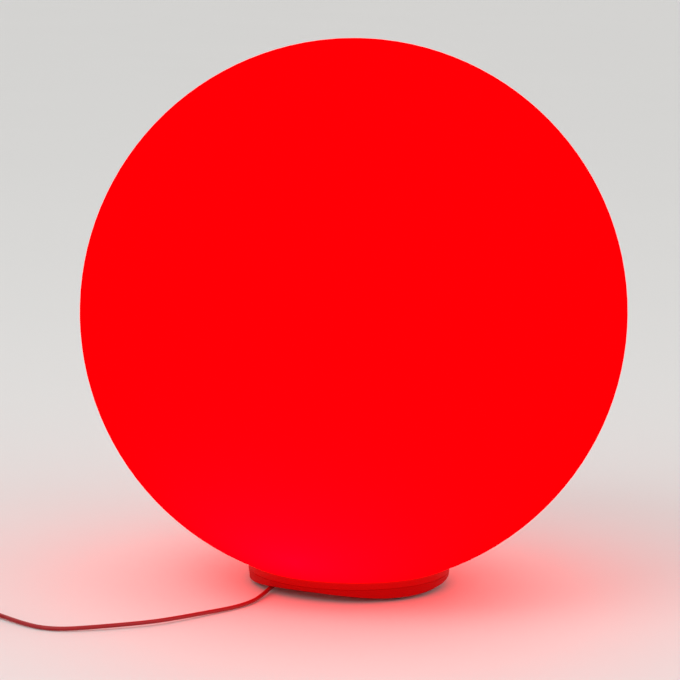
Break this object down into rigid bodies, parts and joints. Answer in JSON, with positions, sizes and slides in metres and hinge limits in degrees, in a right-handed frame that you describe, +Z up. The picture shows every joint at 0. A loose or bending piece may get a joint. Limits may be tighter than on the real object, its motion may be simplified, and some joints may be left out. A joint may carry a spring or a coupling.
{
  "type": "garden globe light",
  "caption": "Glowing opal globe light on a low round twist-off base with a wavy rim, an underside button and a thin low-voltage lead with a barrel plug.",
  "frame": {"origin": "on the globe's axis, in the plane of the surface the lamp stands on", "axes": "+Z up along the globe's axis; the picture is taken from the -Y side, with +X to the right"},
  "size_m": [0.4953, 0.3998, 0.401],
  "materials": {
    "glowing_opal": "satin opal, lit red from inside",
    "base_plastic": "fine moulded satin",
    "white_plastic": "fine moulded satin",
    "black_rubber": "matte",
    "grey_rubber": "matte",
    "black_plastic": "matte",
    "circuit_board": "solder mask",
    "white_board": "white solder mask",
    "screw_steel": "plated",
    "connector_plastic": "natural nylon",
    "core_sleeve": "smooth sleeve",
    "plate_aluminium": "satin",
    "led_lens": "clear resin over pale phosphor",
    "opal_cap": "satin opal, lit red from inside",
    "lead_sheath": "smooth flexible sheath",
    "tie_plastic": "flat tie",
    "plug_plastic": "moulded grip",
    "plug_metal": "nickel plated",
    "button_plastic": "satin"
  },
  "bodies": {
    "base": {"base_foot": "base_plastic", "base_seal": "black_rubber", "rubber_feet": "grey_rubber", "button_seal": "black_rubber", "tact_switch": "black_plastic", "driver_board": "circuit_board", "driver_parts": "black_plastic", "board_screws": "screw_steel", "wire_connector": "connector_plastic", "lead_cores": "core_sleeve", "plate_gasket": "black_rubber", "heat_plate": "plate_aluminium", "led_board": "white_board", "leds": "led_lens", "led_wires": "core_sleeve", "diffuser_dome": "opal_cap", "dome_ring": "white_plastic", "dome_screws": "screw_steel", "lead_boot": "lead_sheath", "boot_nut": "connector_plastic", "lead": "lead_sheath", "lead_coil": "lead_sheath", "coil_tie": "tie_plastic", "plug_body": "plug_plastic", "plug_barrel": "plug_metal", "plug_core": "plug_plastic"},
    "globe": {"globe_shell": "glowing_opal", "globe_collar": "base_plastic", "mouth_gasket": "black_rubber", "clamp_ring": "white_plastic", "collar_screws": "screw_steel"},
    "button": {"mode_button": "button_plastic"}
  },
  "joints": [
    {"name": "globe_twist", "type": "hinge", "parent": "base", "child": "globe", "pos_m": [0, 0, 0.012], "axis": [0, 0, 1], "range_deg": [0, 32]},
    {"name": "button_press", "type": "slide", "parent": "base", "child": "button", "axis": [0, 0, 1], "range_m": [0, 0.0008], "stiffness_N_per_m": 1500, "springref_m": -0.0008}
  ]
}
